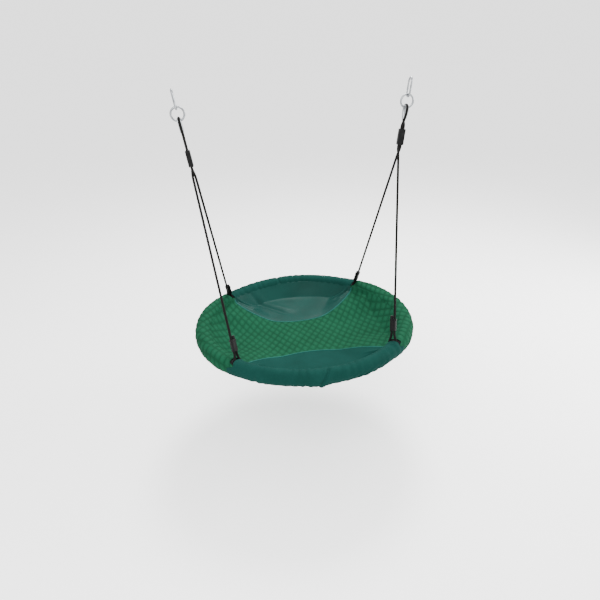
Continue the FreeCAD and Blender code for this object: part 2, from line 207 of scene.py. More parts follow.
# The seat rises from its flat middle to a fold, and more steeply from there to the rim.
SIDE_FOLD = 0.372               # plan distance of the straight folds at the sides
FOLD_LEAST_ASIDE = 0.3
FOLD_OUTERMOST = 0.430
END_FOLD = 0.384                # radius of the round folds at the front and the back
FOLD_TURN = (44, 60)            # degrees from the side's middle where one fold turns into the other
FOLD_HEIGHT = -0.053            # at the end fold's radius
FOLD_CLIMB, FOLD_CLIMB_OVER = 0.045, 0.046

SHEET = 0.0035                  # thickness of the panels
COVER = 0.002                   # thickness of the rim covers
SEAM_MIDDLE = 0.150             # distance of a seam's middle from the seat's middle
SEAM_FADE = (0.003, 0.030)      # puffs and folds grow from nothing to full over this way off a seam
PANEL_TUCK = 0.003              # how far a panel reaches under the rim covers
seam_radius = ((foot_x - SEAM_MIDDLE) ** 2 + foot_x ** 2) / (2 * (foot_x - SEAM_MIDDLE))
seam_centre = SEAM_MIDDLE + seam_radius
corner_y = (EDGE[0] ** 2 - seam_radius ** 2 + seam_centre ** 2) / (2 * seam_centre)
corner_x = math.sqrt(EDGE[0] ** 2 - corner_y ** 2)
EDGE_ANGLE = math.atan2(EDGE[1], EDGE[0] - RING)


def sheet_height(x, y):
    """Height of the stretched seat above the ring's centre."""
    r = np.maximum(np.hypot(x, y), 1e-6)
    aside = np.abs(x) / r
    straight = np.minimum(SIDE_FOLD / np.maximum(aside, FOLD_LEAST_ASIDE), FOLD_OUTERMOST)
    to_ends = step(np.arccos(np.clip(aside, 0, 1)), *np.radians(FOLD_TURN))
    fold_r = straight * (1 - to_ends) + END_FOLD * to_ends
    fold_z = FOLD_HEIGHT + FOLD_CLIMB * np.clip((fold_r - END_FOLD) / FOLD_CLIMB_OVER, 0, 1)
    rise = (fold_z + SEAT_DEPTH) / (fold_r - FLAT)
    middle = -SEAT_DEPTH + rise * (r - FLAT)
    wall = fold_z + (EDGE[1] - fold_z) / (EDGE[0] - fold_r) * (r - fold_r)
    height = upper(np.full_like(r, -SEAT_DEPTH), middle, FLOOR_BEND)
    return upper(height, wall, WALL_BEND)


def seam_y(x):
    """Distance of the seam between the two cloths from the seat's middle line."""
    return seam_centre - np.sqrt(np.maximum(seam_radius ** 2 - x ** 2, 0))


def off_the_seams(x, y):
    """0 on the seams between the two cloths, rising to 1 a little way off."""
    return step(np.abs(seam_y(np.clip(x, -foot_x, foot_x)) - np.abs(y)), *SEAM_FADE)


def edge_y(x):
    return np.sqrt(np.maximum(EDGE[0] ** 2 - x ** 2, 0))


QUILT_ACROSS = (-28.0, 27.0)    # stitch lines per metre of cloth, for the two sets of lines
QUILT_ALONG = 16.4
PUFF = 0.0026                   # height of a puff
PUFF_SHAPE = 0.75               # below 1 the puffs are blunt


def quilted_cloth(u, v):
    """The diamond quilting's puffs, from 0 on a stitch line to 1 in a middle, and its layers, whose
    puffs also set the quilting's painted shade and highlight.
    """
    p = QUILT_ACROSS[0] * u + QUILT_ALONG * v
    q = QUILT_ACROSS[1] * u + QUILT_ALONG * v
    puffs = (np.abs(np.sin(math.pi * p)) * np.abs(np.sin(math.pi * q))) ** PUFF_SHAPE
    rows = np.stack([p, q, np.zeros_like(p)], -1)
    return puffs, {"cloth": np.stack([u, v, puffs], -1), "rows": rows}


NUDGE = 1e-4                    # the step that the seat's slope is measured over


def panel(name, x, y, height, layers):
    """A piece of the seat over a grid of plan points, raised by height along the seat's normal."""
    z = sheet_height(x, y)
    base = np.stack([x, y, z + seat_z], -1)
    normal = np.stack([
        sheet_height(x - NUDGE, y) - sheet_height(x + NUDGE, y),
        sheet_height(x, y - NUDGE) - sheet_height(x, y + NUDGE),
        np.full_like(x, 2 * NUDGE),
    ], -1)
    normal /= np.linalg.norm(normal, axis=-1, keepdims=True)
    points = base + normal * height[..., None]
    obj = shell(name + "_cloth", points, SHEET, np.array([0, 0, 1]), layers=layers)
    return stand_for(name, obj, "seat")


def centre_panel():
    """The quilted panel between the side covers, bounded by the two seams."""
    along = np.linspace(-1, 1, 310)
    share = np.linspace(0, 1, 160)
    reach = EDGE[0] + PANEL_TUCK
    x = reach * (0.6 * along + 0.4 * np.sin(along * math.pi / 2))
    edge = np.sqrt(np.maximum(reach ** 2 - x ** 2, 1e-8))
    side = np.where(np.abs(x) < corner_x, seam_y(np.clip(x, -foot_x, foot_x)), edge)
    x, share = np.meshgrid(x, share, indexing="ij")
    y = (2 * share - 1) * side[:, None]
    puffs, layers = quilted_cloth(x, y)
    height = off_the_seams(x, y) * (PUFF * puffs + 0.0015 * ripple(x, y, 0.22, 3))
    obj = panel("centre_panel", x, y, height, layers)


# Folds in the end panels, with their widths and heights in metres: across the panel from point to
# point, and fanning from each foot at an angle in radians.
CROSS_FOLDS = {
    "front": (),
    "back": (
        ((-0.22, 0.365), (-0.05, 0.235), 0.012, -0.0035),
        ((-0.19, 0.375), (-0.02, 0.260), 0.020, 0.0035),
    ),
}
FOOT_FOLDS = {
    "front": ((0.25, 0.007, -0.004), (0.50, 0.007, 0.004)),
    "back": ((0.20, 0.006, 0.005), (0.42, 0.007, -0.005), (0.62, 0.008, 0.005)),
}
FOOT_FOLD_LENGTH = {"front": 0.12, "back": 0.13}
FOOT_FOLD_SQUASH = {"front": 1.0, "back": 0.9}      # of their reach towards the middle
FOOT_FOLD_START = {"front": (0.02, 0.010), "back": (0.02, 0.012)}   # aside and inwards of the foot


def end_panel(end):
    """The smooth panel between one seam and the end cover, with the seam's binding."""
    sign = ENDS[end]
    across = np.linspace(-1, 1, 300)
    share = np.linspace(0, 1, 140)
    x = corner_x * np.sin(across * math.pi / 2)
    x, share = np.meshgrid(x, share, indexing="ij")
    inner, outer = seam_y(x), edge_y(x) + PANEL_TUCK
    y = sign * (inner + share * (outer - inner))
    height = 0.002 * ripple(x, y, 0.16, 11 + sign)
    for start, finish, width, lift in CROSS_FOLDS[end]:
        height = height + lift * fold_line(x, y, start, finish, width)
    aside, inwards = FOOT_FOLD_START[end]
    length, squash = FOOT_FOLD_LENGTH[end], FOOT_FOLD_SQUASH[end]
    for side in SIDES.values():
        near = (side * (foot_x - aside), sign * (foot_x - inwards))
        for turn, width, lift in FOOT_FOLDS[end]:
            far = (
                side * (foot_x - length * math.cos(turn)),
                sign * (foot_x - length * math.sin(turn) * squash),
            )
            height = height + lift * fold_line(x, y, near, far, width)
    height = height * off_the_seams(x, y)
    obj = panel(f"{end}_panel", x, y, height, {"cloth": np.stack([x, y, height], -1)})
    binding(end)


# Places round the rim's section are in degrees: 0 is outermost, 90 the top, 270 the bottom.
SLOT_FROM, SLOT_TO, SLOT_SOFT = 35, 152, 15     # what each rope's opening spans
SLOT_HALF = 0.0085              # half the opening's width
SLOT_SWAY = 0.0020              # more room on the side that the ropes sway to
SLOT_LEAN = 0.4                 # the opening follows the leg, which leans towards the side covers
COVER_GAP = 0.0003              # between two covers away from the openings
STRIP_FROM, STRIP_TO, STRIP_SOFT = 204, 261, 8  # where the covers lie flat for the closure strips
STRIP_BED = 0.0003              # how far they lie below the rim's surface there
PANEL_FROM, PANEL_TO = (75, 160), (175, 200)    # where the panel pulls the covers in
FLAP = 0.030                    # the end covers reach this far past the ropes outside the rim
FLAP_TOP, FLAP_BOTTOM = (8, 38), (-125, -65)    # where the flap tapers off
PLUMP = 0.0032                  # how far a cover stands off the foam where nothing pulls it in
FOOT_RISE = 0.0060              # how much fuller it is outside each rope
FOOT_FADE = (0.02, 0.22)        # share of a cover's half length over which that fades
HEM_FADE = (0.012, 0.04)        # and over which the quilting fades in from the cover's end
HEM, HEM_WIDTH = 0.002, 0.014   # raised edge round an opening
PUFF_SINK = 0.3                 # share of a puff that the quilting's mean lies below its top
COVER_LEAST, COVER_LEAST_BEND = 0.0014, 0.0008  # the lowest a cover comes under the rim's surface
EDGE_LENGTH = 0.465             # of cloth from the seat's middle to where it meets the rim


def outside(turn, low=-0.2, high=0.9):
    """0 on the inside of the rim, rising to 1 on its outside."""
    return step(np.cos(turn), low, high)


def rim_cover(name, middle, quilted, wrinkle, rise):
    """A quarter of the padded rim's cover, open for the rope at each end of its top."""
    along = np.linspace(-1, 1, 410)
    around = np.linspace(0, 2 * math.pi, 121)[:-1] + EDGE_ANGLE
    along, around = np.meshgrid(along, around, indexing="ij")
    turn = np.mod(around, 2 * math.pi)
    place = np.degrees(turn)
    outer = outside(turn)
    at_the_panel = step(place, *PANEL_FROM) * step(-place, -PANEL_TO[1], -PANEL_TO[0])
    off_the_panel = 1 - at_the_panel
    top = window(place, SLOT_FROM, SLOT_TO, SLOT_SOFT)
    signed = np.degrees(np.where(turn > math.pi, turn - 2 * math.pi, turn))
    flap = FLAP * step(-signed, -FLAP_TOP[1], -FLAP_TOP[0]) * step(signed, *FLAP_BOTTOM)
    end_radius = RIM + (PLUMP + FOOT_RISE * outer) * off_the_panel
    lean = SLOT_LEAN * end_radius * np.sin(turn) * top
    gap = COVER_GAP + top * SLOT_HALF + (lean + flap) * (1 if quilted else -1)
    if quilted:
        gap = gap + SLOT_SWAY * top
    angle = math.radians(middle) + along * (math.pi / 4 - gap / RING)
    arc = RIM * (EDGE_ANGLE - np.where(turn > EDGE_ANGLE, turn - 2 * math.pi, turn))
    degrees = np.degrees(angle)
    from_the_end = 1 - np.abs(along)
    off_the_feet = step(from_the_end, *FOOT_FADE)
    raised = FOOT_RISE * outer * (1 - off_the_feet) + rise(degrees, turn) * off_the_feet
    radius = RIM + (PLUMP + raised) * off_the_panel + wrinkle(degrees, turn)
    if quilted:
        length = EDGE_LENGTH + arc
        puffs, layers = quilted_cloth(length * np.cos(angle), length * np.sin(angle))
        radius = radius + PUFF * (puffs - PUFF_SINK) * step(from_the_end, *HEM_FADE)
    else:
        layers = {"cloth": np.stack([angle * RING, arc, radius], -1)}
    hem = HEM * bump(from_the_end, 0, HEM_WIDTH) * top
    radius = upper(radius + hem, RIM - COVER_LEAST, COVER_LEAST_BEND)
    strips = window(place, STRIP_FROM, STRIP_TO, STRIP_SOFT)
    radius = radius * (1 - strips) + (RIM - STRIP_BED) * strips
    r = RING + radius * np.cos(around)
    points = np.stack([r * np.cos(angle), r * np.sin(angle), seat_z + radius * np.sin(around)], -1)
    centre = np.stack([RING * np.cos(angle), RING * np.sin(angle), np.full_like(r, seat_z)], -1)
    obj = shell(name + "_cloth", points, COVER, points - centre, wrap=True, layers=layers)
    return stand_for(name, obj, "seat")


# Below, angle is the place along the ring in degrees, and turn that round its section in radians.
def gathers(angle, turn, spacing, depth, seed):
    """Small folds that run round the rim's section, about that far apart."""
    arc = np.radians(angle) * RING
    phase = 2 * math.pi * (arc + 0.25 * spacing * ripple(arc, turn * 0.02, 0.12, seed)) / spacing
    strength = 0.5 + 0.5 * ripple(arc, turn * 0.01, 0.2, seed + 1)
    return depth * np.sin(phase) * np.clip(strength, 0, 1)


def side_wrinkle(angle, turn):
    return gathers(angle, turn, 0.045, 0.0008, 5)


def side_rise(angle, turn):
    """A side cover is full outside, and the left one a little more towards the back."""
    return (0.010 + 0.003 * bump(angle, 160, 10)) * outside(turn)


FRONT_GATHERS = ((284, 0.0014), (288.5, 0.0022), (293, 0.0040), (298, 0.0020), (303, 0.0024))


def front_wrinkle(angle, turn):
    """The crease near the front's middle, the gathers at its right and a dent at its left."""
    out = gathers(angle, turn, 0.034, 0.0016, 21)
    outer = outside(turn, -0.6, 0.4)
    slant = angle - 2.8 * np.sin(turn)
    out = out - 0.0060 * bump(slant, 269.2, 0.7) * outer + 0.0040 * bump(slant, 270.9, 1.4) * outer
    lower = step(-np.sin(turn), -0.5, 0.3)
    slant = angle - 5 * np.sin(turn)
    for place, depth in FRONT_GATHERS:
        out = out - depth * bump(slant, place, 0.8) * lower * outer
        out = out + 0.6 * depth * bump(slant, place + 1.9, 1.2) * lower * outer
    return out - 0.0025 * bump(angle, 236, 1.4) * outer


def front_rise(angle, turn):
    """The front cover sags below the crease and at its left."""
    lower = step(-np.sin(turn), -0.3, 0.8)
    return 0.006 * bump(angle, 267, 4.5) * lower + 0.003 * bump(angle, 236, 8) * lower


def back_wrinkle(angle, turn):
    return gathers(angle, turn, 0.038, 0.0013, 31) - 0.0045 * bump(angle, 98, 0.9)


def back_rise(angle, turn):
    """The back cover stands up a little towards its middle."""
    return 0.005 * bump(angle, 90, 32) * step(np.sin(turn), -0.2, 0.8)


BINDING_END = 0.3120            # the tapes stop this far aside, short of the ropes
BINDING_HALF = 0.0042           # half their width
BINDING_CROWN, BINDING_THICKNESS, BINDING_LIFT = 0.0018, 0.0012, 0.0004
STITCH_DEPTH, STITCH_PLACE, STITCH_WIDTH, STITCH_POINTS = 0.0007, 0.62, 0.16, 4


def binding(end):
    """The folded edging along one seam: two rounded lips with a row of stitches in each."""
    sign = ENDS[end]
    x = np.linspace(-BINDING_END, BINDING_END, 700)
    y = sign * seam_y(x)
    across = np.linspace(-1, 1, 15)
    slope = np.gradient(y, x)
    side = np.stack([-slope, np.ones_like(slope)], -1) / np.hypot(slope, 1)[:, None]
    px = x[:, None] + side[:, :1] * across * BINDING_HALF
    py = y[:, None] + side[:, 1:] * across * BINDING_HALF
    stitches = np.abs(np.sin(math.pi * np.arange(len(x)) / STITCH_POINTS))
    stitches = stitches[:, None] * bump(np.abs(across), STITCH_PLACE, STITCH_WIDTH)
    crown = BINDING_CROWN * (1 - across ** 4) - STITCH_DEPTH * stitches
    z = seat_z + sheet_height(px, py) + crown + BINDING_LIFT
    points = np.stack([px, py, z], -1)
    cloth = np.stack(np.broadcast_arrays(x[:, None], across * BINDING_HALF, crown), -1)
    obj = shell(f"{end}_binding_tape", points, BINDING_THICKNESS, np.array([0, 0, 1]),
                layers={"cloth": cloth})
    return stand_for(f"{end}_binding", obj, "seat")


TAPE_MIDDLE, TAPE_HALF = 232.5, 17.5    # degrees round the rim's section
TAPE_ENDS = (6, 84)             # degrees along the ring from one foot
TAPE_HEIGHT, TAPE_THICKNESS, TAPE_EDGE, TAPE_FUZZ = 0.0012, 0.0009, 0.04, 0.0002


def closure_strips():
    """The four strips under the rim that close its covers."""
    verts, faces, cloth = [], [], []
    for foot in (45, 135, 225, 315):
        along = np.radians(np.linspace(foot + TAPE_ENDS[0], foot + TAPE_ENDS[1], 240))
        turn = np.radians(np.linspace(TAPE_MIDDLE - TAPE_HALF, TAPE_MIDDLE + TAPE_HALF, 14))
        along, turn = np.meshgrid(along, turn, indexing="ij")
        inwards = math.radians(TAPE_HALF) - np.abs(turn - math.radians(TAPE_MIDDLE))
        edge = np.clip(inwards / TAPE_EDGE, 0, 1)
        fuzz = TAPE_FUZZ * ripple(along * RING, turn * RIM, 0.004, 51)
        radius = RIM + TAPE_HEIGHT * edge + fuzz
        r = RING + radius * np.cos(turn)
        z = seat_z + radius * np.sin(turn)
        points = np.stack([r * np.cos(along), r * np.sin(along), z], -1)
        normals = grid_normals(points)
        upwards = np.where(normals[..., 2:] > 0, 1, -1)
        inner = points + normals * upwards * TAPE_THICKNESS
        faces.append(sheet_faces(*along.shape, outwards=False, offset=sum(len(v) for v in verts)))
        verts += [points.reshape(-1, 3), inner.reshape(-1, 3)]
        cloth += [np.stack([along * RING, turn * RIM, edge], -1).reshape(-1, 3)] * 2
    layers = {"cloth": np.concatenate(cloth)}
    obj = mesh_object("closure_tapes", np.concatenate(verts), np.concatenate(faces), layers)
    return stand_for("closure_strips", obj, "seat")


# ---- ropes -------------------------------------------------------------------------------------
ROPE = 0.005                    # radius
EYE_TOP = 0.962                 # the rope's centre at the top of its eye, up the rope plane
ADJUSTER_SPACING = 0.0064       # from an adjuster's middle to each of its bores
ADJUSTER_HEIGHT = {             # of an adjuster's lower end over the tube's centre
    "front_left": 0.070, "front_right": 0.078, "back_left": 0.056, "back_right": 0.058,
}
ADJUSTER_LENGTH = 0.050
STOPPER_LENGTH = 0.015

# Points of the rope from the clamp up to the eye: across, towards the back and up the rope plane.
STRANDS = {
    "left": [
        (-0.0056, -0.0070, 0.7142), (-0.0057, 0.0, 0.730), (-0.0034, 0.0047, 0.747),
        (0.0, 0.0055, 0.7635), (0.0, 0.0055, 0.790), (0.0, 0.0055, 0.890),
        (0.0, 0.017, 0.926), (0.0, 0.017, EYE_TOP),
    ],
    "right": [
        (0.0, -0.0128, 0.7462), (0.0, -0.0062, 0.762), (-0.0042, -0.0043, 0.778),
        (-0.0055, 0.0, 0.794), (-0.0055, 0.0, 0.876), (-0.0042, -0.0042, 0.890),
        (0.0, -0.0056, 0.904), (0.0, -0.017, 0.930), (0.0, -0.017, EYE_TOP),
    ],
}
# Points of the rope round the tube and of its end above, outwards and up the leg.
LOOP = [(0.0195, 0.020), (0.0195, -0.0212), (-0.0195, -0.0212), (-0.0195, 0.012)]
TAIL = [(-0.0195, 0.012), (-0.0195, 0.021)]
LOOP_START = 0.020              # the rope spreads this far below the adjuster
BORE_DEPTH = 0.004              # and is straight from this far inside it
TAIL_SHORT = 0.004              # a tail ends this far below its stopper's top


def rope_plane(side):
    """Origin of one side's rope plane, and its axes across it, towards the back and up it."""
    sign = SIDES[side]
    up = Vector((sign * math.sin(LEAN), 0, math.cos(LEAN)))
    across = Vector((math.cos(LEAN), 0, -sign * math.sin(LEAN)))
    return Vector((sign * foot_x, 0, seat_z)), across, Vector((0, 1, 0)), up


def strand_points(side, end):
    """The route of the rope of that end from the clamp up to the top of the eye."""
    origin, across, back, up = rope_plane(side)
    turn = 1 if end == "front" else -1
    return [origin + across * turn * a + back * turn * b + up * c for a, b, c in STRANDS[side]]


def foot_frame(side, end):
    """Centre of the tube, the ways outwards and up the leg, and a bore's place outwards."""
    centre = Vector((SIDES[side] * foot_x, ENDS[end] * foot_x, seat_z))
    outwards = Vector((SIDES[side], ENDS[end], 0)).normalized()
    top = strand_points(side, end)[1]
    up = (top - centre - outwards * ADJUSTER_SPACING).normalized()
    outwards = (outwards - up * outwards.dot(up)).normalized()
    return centre, outwards, up, (top - centre).dot(outwards)


def leg_points(side, end):
    """The route round the tube and up to the adjuster."""
    centre, outwards, up, offset = foot_frame(side, end)
    height = ADJUSTER_HEIGHT[f"{end}_{side}"]
    loop = [(offset, height + BORE_DEPTH), (offset, height - LOOP_START)] + LOOP
    return [centre + outwards * a + up * c for a, c in reversed(loop)]


def tail_points(side, end):
    """The route of the rope's end, from beside the tube up into the stopper."""
    centre, outwards, up, offset = foot_frame(side, end)
    height = ADJUSTER_HEIGHT[f"{end}_{side}"]
    top = height + ADJUSTER_LENGTH + STOPPER_LENGTH - TAIL_SHORT
    route = TAIL + [(-offset, height - LOOP_START), (-offset, height + BORE_DEPTH), (-offset, top)]
    return [centre + outwards * a + up * c for a, c in route]


POINT_SPACING = 0.0013          # along a rope
BRAID_PITCH = 0.011             # of the strands
BRAID_STRANDS = 5               # each way round
ROPE_FACETS = 30
BRAID_LEAST, BRAID_RELIEF = 0.95, 0.07  # shares of the radius


def centreline(name, points):
    """The rope's smooth line along its route as evenly spaced points, and its length."""
    curve = bpy.data.curves.new(name + "_route", "CURVE")
    curve.dimensions = "3D"
    curve.resolution_u = 12
    spline = curve.splines.new("NURBS")
    spline.points.add(len(points) - 1)
    for point, place in zip(spline.points, points):
        point.co = (*place, 1)
    spline.order_u = 3
    spline.use_endpoint_u = True
    route = bpy.data.objects.new(name + "_route", curve)
    bpy.context.collection.objects.link(route)
    mesh = bpy.data.meshes.new_from_object(route)
    line = np.array([v.co for v in mesh.vertices])
    bpy.data.objects.remove(route)
    bpy.data.meshes.remove(mesh)
    gaps = np.linalg.norm(np.diff(line, axis=0), axis=1)
    line = line[np.append(True, gaps > 1e-7)]
    travelled = np.append(0, np.cumsum(np.linalg.norm(np.diff(line, axis=0), axis=1)))
    places = np.linspace(0, travelled[-1], int(travelled[-1] / POINT_SPACING))
    return np.stack([np.interp(places, travelled, line[:, k]) for k in range(3)], -1), travelled[-1]


def carried_frames(line):
    """Two directions across the line at each point, carried along it without twist."""
    tangents = np.gradient(line, axis=0)
    tangents /= np.linalg.norm(tangents, axis=1, keepdims=True)
    first = np.cross(tangents[0], [0.3, 0.2, 0.9])
    firsts = []
    for tangent in tangents:
        first = first - tangent * (first @ tangent)
        first = first / np.linalg.norm(first)
        firsts.append(first)
    firsts = np.array(firsts)
    return firsts, np.cross(tangents, firsts)


def braided_rope(name, points, body=None):
    """A cord braided from two sets of strands, over and under each other."""
    line, length = centreline(name, points)
    firsts, seconds = carried_frames(line)
    count = ROPE_FACETS
    turn = np.linspace(0, 2 * math.pi, count, endpoint=False)
    travelled = np.linspace(0, length, len(line))[:, None]
    a = BRAID_STRANDS * turn / (2 * math.pi) + travelled / BRAID_PITCH
    b = BRAID_STRANDS * turn / (2 * math.pi) - travelled / BRAID_PITCH
    over = 0.5 + 0.5 * np.sin(math.pi * (a + b)) * np.sin(math.pi * (a - b))
    weave = over * np.abs(np.sin(math.pi * a)) + (1 - over) * np.abs(np.sin(math.pi * b))
    radius = ROPE * (BRAID_LEAST + BRAID_RELIEF * weave)
    ring = np.cos(turn)[:, None] * firsts[:, None] + np.sin(turn)[:, None] * seconds[:, None]
    tube = line[:, None] + radius[..., None] * ring
    verts = np.concatenate([tube.reshape(-1, 3), line[:1], line[-1:]])
    faces = [tuple(f) for f in quads(len(line), count, wrap=True)]
    last = len(line) * count
    for k in range(count):
        n = (k + 1) % count
        faces.append((last, k, n))
        faces.append((last + 1, last - count + n, last - count + k))
    # The third value is the braid's relief, which the rope's look also turns into painted shade
    # between the strands.
    cloth = np.stack([travelled + 0 * turn, turn * ROPE + 0 * travelled, weave], -1).reshape(-1, 3)
    cloth = np.concatenate([cloth, np.zeros((2, 3))])
    obj = stand_for(name, mesh_object(name + "_cord", verts, faces, {"cloth": cloth}), body)
    return obj


for side in SIDES:
    front = leg_points(side, "front") + strand_points(side, "front")
    back = leg_points(side, "back") + strand_points(side, "back")
    braided_rope(f"{side}_rope", front + back[::-1], f"{side}_ropes")
    for end in ENDS:
        points = tail_points(side, end)
        obj = braided_rope(f"{end}_{side}_rope_tail", points)
        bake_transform(obj)

# ---- camera and lights -------------------------------------------------------------------------
AZIMUTH, ELEVATION, ROLL = (math.radians(a) for a in (-8.52, 26.05, -2.34))
DISTANCE = 2.424
LENS, SENSOR = 31.0, 36         # millimetres
target = Vector((-0.0143, 0, seat_z + 0.1167))
away = Vector((
    math.sin(AZIMUTH) * math.cos(ELEVATION),
    -math.cos(AZIMUTH) * math.cos(ELEVATION),
    math.sin(ELEVATION),
))
camera = bpy.data.objects.new("camera", bpy.data.cameras.new("camera"))
camera.data.lens = LENS
camera.data.sensor_width = SENSOR
camera.location = target + away * DISTANCE
camera.rotation_mode = "QUATERNION"
camera.rotation_quaternion = (-away).to_track_quat("-Z", "Y") @ Quaternion((0, 0, 1), ROLL)
bpy.context.collection.objects.link(camera)
bpy.context.scene.camera = camera


def soft_light(name, place, size, power):
    """A round light at that place from the seat's middle, which it faces."""
    light = bpy.data.lights.new(name, "AREA")
    light.shape = "DISK"
    light.size = size
    light.energy = power
    obj = bpy.data.objects.new(name, light)
    obj.location = Vector(place) + Vector((0, 0, seat_z))
    obj.rotation_mode = "QUATERNION"
    obj.rotation_quaternion = (Vector((0, 0, seat_z)) - obj.location).to_track_quat("-Z", "Y")
    bpy.context.collection.objects.link(obj)


soft_light("key", (-1.2, -2.6, 2.6), 2.5, 150)
soft_light("back", (0.9, 2.1, 3.3), 1.4, 250)
soft_light("right", (3.2, 0.1, 1.2), 1.6, 150)
WORLD_STRENGTH = 2.2
world = bpy.data.worlds.new("world")
world.use_nodes = True
background = world.node_tree.nodes["Background"]
background.inputs["Color"].default_value = (1, 1, 1, 1)
background.inputs["Strength"].default_value = WORLD_STRENGTH
bpy.context.scene.world = world


# ---- materials ---------------------------------------------------------------------------------
class Look:
    """A procedural material being built, with the few kinds of node that the looks share."""

    def __init__(self, name, roughness=0.6, metallic=0.0, specular=0.5):
        self.material = bpy.data.materials.new(name)
        self.material.use_nodes = True
        self.tree = self.material.node_tree
        self.shader = self.tree.nodes["Principled BSDF"]
        self.shader.inputs["Roughness"].default_value = roughness
        self.shader.inputs["Metallic"].default_value = metallic
        self.shader.inputs["Specular IOR Level"].default_value = specular

    def node(self, kind, **settings):
        node = self.tree.nodes.new(kind)
        for key, value in settings.items():
            setattr(node, key, value)
        return node

    def link(self, source, target):
        self.tree.links.new(source, target)

    def place(self):
        """Where the point shaded lies on its object."""
        return self.node("ShaderNodeTexCoord").outputs["Object"]

    def layer(self, name):
        """A vector that the mesh carries at its points."""
        return self.node("ShaderNodeAttribute", attribute_name=name).outputs["Vector"]

    def math(self, operation, *values):
        node = self.node("ShaderNodeMath", operation=operation)
        for socket, value in zip(node.inputs, values):
            if isinstance(value, (int, float)):
                socket.default_value = value
            else:
                self.link(value, socket)
        return node.outputs[0]

    def split(self, vector):
        node = self.node("ShaderNodeSeparateXYZ")
        self.link(vector, node.inputs[0])
        return node.outputs

    def noise(self, where, scale, detail=3.0):
        node = self.node("ShaderNodeTexNoise")
        node.inputs["Scale"].default_value = scale
        node.inputs["Detail"].default_value = detail
        self.link(where, node.inputs["Vector"])
        return node.outputs["Fac"]

    def ramp(self, value, *stops):
        """A colour for the value. Each stop is a value and its colour."""
        node = self.node("ShaderNodeValToRGB")
        elements = node.color_ramp.elements
        while len(elements) < len(stops):
            elements.new(0.5)
        for element, (place, colour) in zip(elements, stops):
            element.position = place
            element.color = (*colour, 1)
        self.link(value, node.inputs["Fac"])
        return node.outputs["Color"]

    def mix(self, share, a, b, blend="MIX"):
        node = self.node("ShaderNodeMix", data_type="RGBA", blend_type=blend)
        for socket, value in ((node.inputs[0], share), (node.inputs[6], a), (node.inputs[7], b)):
            if isinstance(value, (int, float)):
                socket.default_value = value
            elif isinstance(value, tuple):
                socket.default_value = (*value, 1)
            else:
                self.link(value, socket)
        return node.outputs[2]

    def colour(self, value):
        self.link(value, self.shader.inputs["Base Color"])

    def roughness(self, value, low, high):
        node = self.node("ShaderNodeMapRange")
        node.inputs["To Min"].default_value = low
        node.inputs["To Max"].default_value = high
        self.link(value, node.inputs["Value"])
        self.link(node.outputs[0], self.shader.inputs["Roughness"])

    def bumps(self, *layers):
        """Each layer is a height, its strength and its depth in metres."""
        last = None
        for height, strength, depth in layers:
            node = self.node("ShaderNodeBump")
            node.inputs["Strength"].default_value = strength
            node.inputs["Distance"].default_value = depth
            self.link(height, node.inputs["Height"])
            if last is not None:
                self.link(last, node.inputs["Normal"])
            last = node.outputs["Normal"]
        self.link(last, self.shader.inputs["Normal"])

    def weave(self, cloth, pitch):
        """A plain weave of that pitch in metres, from 0 to 1."""
        u, v, _ = self.split(cloth)
        turn = 2 * math.pi / pitch
        warp = self.math("SINE", self.math("MULTIPLY", u, turn))
        weft = self.math("SINE", self.math("MULTIPLY", v, turn))
        crossed = self.math("MULTIPLY", self.math("MULTIPLY", warp, weft), 0.5)
        return self.math("ADD", crossed, 0.5)


ROUGHNESS_SPREAD = 0.08
STITCH_PAINTED_SHADE = 0.6              # how dark the painted shade along the stitch lines is against the darkest cloth


def cloth_look(name, dark, mid, light, roughness, gloss, pitch, quilted=False):
    """Woven cloth in three tones, with a weave of that pitch in metres. Quilted cloth also gets
    painted shade along its stitch lines and a painted highlight on its puffs' tops.
    """
    look = Look(name, roughness=roughness, specular=gloss)
    cloth = look.layer("cloth")
    weave = look.weave(cloth, pitch)
    fade = look.noise(look.place(), 9.0, 4.0)
    fine = look.noise(look.place(), 160.0, 2.0)
    colour = look.ramp(fade, (0.3, dark), (0.55, mid), (0.8, light))
    if quilted:
        # Painted shade and highlight: the stitch lines are darkened and the puffs' tops lightened,
        # as light falls on the quilting.
        _, _, puff = look.split(cloth)
        stitches = tuple(STITCH_PAINTED_SHADE * c for c in dark)
        tone = look.ramp(puff, (0.15, stitches), (0.55, mid), (0.95, light))
        colour = look.mix(0.6, colour, tone)
    colour = look.mix(0.25, colour, look.ramp(weave, (0.0, dark), (1.0, light)))
    colour = look.mix(0.15, colour, look.ramp(fine, (0.3, dark), (0.7, light)))
    look.colour(colour)
    look.roughness(fade, roughness - ROUGHNESS_SPREAD, roughness + ROUGHNESS_SPREAD)
    look.bumps((weave, 0.35, 0.0002), (fine, 0.25, 0.0006))
    return look.material


GREENS = ((0.0027, 0.0255, 0.0118), (0.0050, 0.041, 0.0200), (0.0077, 0.055, 0.0285))
TEALS = ((0.0028, 0.0207, 0.0165), (0.0039, 0.0267, 0.0216), (0.0052, 0.0336, 0.0276))
PIPINGS = ((0.002, 0.036, 0.028), (0.004, 0.050, 0.040), (0.007, 0.066, 0.053))
BLACKS = ((0.003, 0.003, 0.003), (0.005, 0.005, 0.005), (0.009, 0.009, 0.009))
green = cloth_look("green_quilt", *GREENS, 0.80, 0.015, 0.0014, quilted=True)
teal = cloth_look("teal_cloth", *TEALS, 0.60, 0.010, 0.0010)
satin = cloth_look("teal_satin", *TEALS, 0.38, 0.032, 0.0010)
piping = cloth_look("piping", *PIPINGS, 0.65, 0.05, 0.0008)
strip = cloth_look("hook_and_loop", *BLACKS, 0.85, 0.05, 0.0009)


